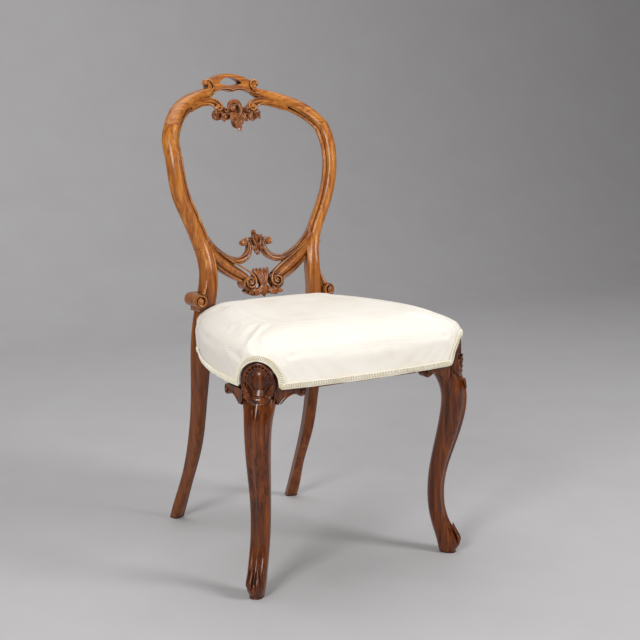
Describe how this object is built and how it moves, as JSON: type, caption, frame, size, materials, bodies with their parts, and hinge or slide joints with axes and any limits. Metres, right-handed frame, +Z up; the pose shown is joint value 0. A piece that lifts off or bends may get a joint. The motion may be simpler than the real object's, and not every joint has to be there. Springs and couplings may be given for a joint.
{
  "type": "balloon back chair",
  "caption": "Wooden dining chair with an oval open back, carved crest and lower rail, curved front legs, splayed rear legs and a domed upholstered seat.",
  "frame": {"origin": "on the floor, under the middle of the chair's width and depth", "axes": "+Z up; the sitter faces -Y; +X is on the right of someone who faces the front, which is the side that the names call right, and x = 0 is the plane of symmetry"},
  "size_m": [0.4694, 0.5396, 0.896],
  "materials": {
    "gilt_walnut": "satin",
    "red_walnut": "gloss",
    "beech": "matte",
    "birch_dowel": "matte",
    "iron": "matte",
    "jute_webbing": "matte",
    "hessian_cloth": "matte",
    "curled_hair": "matte",
    "cream_calico": "matte",
    "cream_gimp": "matte"
  },
  "bodies": {
    "root": {"crest_rail": "gilt_walnut", "crest_leaf_carving": "red_walnut", "lower_back_rail": "gilt_walnut", "finial_carving": "red_walnut", "volute_leaf_carving": "red_walnut", "stile_and_rear_leg_right": "gilt_walnut", "stile_and_rear_leg_left": "gilt_walnut", "front_leg_right": "red_walnut", "front_leg_left": "red_walnut", "knee_ear_front_right": "red_walnut", "knee_ear_front_left": "red_walnut", "knee_ear_side_right": "red_walnut", "knee_ear_side_left": "red_walnut", "front_seat_rail": "beech", "back_seat_rail": "beech", "side_seat_rail_right": "beech", "side_seat_rail_left": "beech", "front_corner_block_right": "beech", "front_corner_block_left": "beech", "rear_corner_block_right": "beech", "rear_corner_block_left": "beech", "corner_block_screws": "iron", "crest_dowels": "birch_dowel", "lower_rail_dowels": "birch_dowel", "front_rail_dowels": "birch_dowel", "side_rail_front_dowels": "birch_dowel", "side_rail_rear_dowels": "birch_dowel", "back_rail_dowels": "birch_dowel", "webbing_lengthwise": "jute_webbing", "webbing_crosswise": "jute_webbing", "webbing_tacks": "iron", "hessian": "hessian_cloth", "hair_stuffing": "curled_hair", "seat_cover": "cream_calico", "gimp_front_and_sides": "cream_gimp", "gimp_back": "cream_gimp", "seat_spring_1": "iron", "seat_spring_2": "iron", "seat_spring_3": "iron", "seat_spring_4": "iron", "seat_spring_5": "iron"}
  },
  "joints": []
}
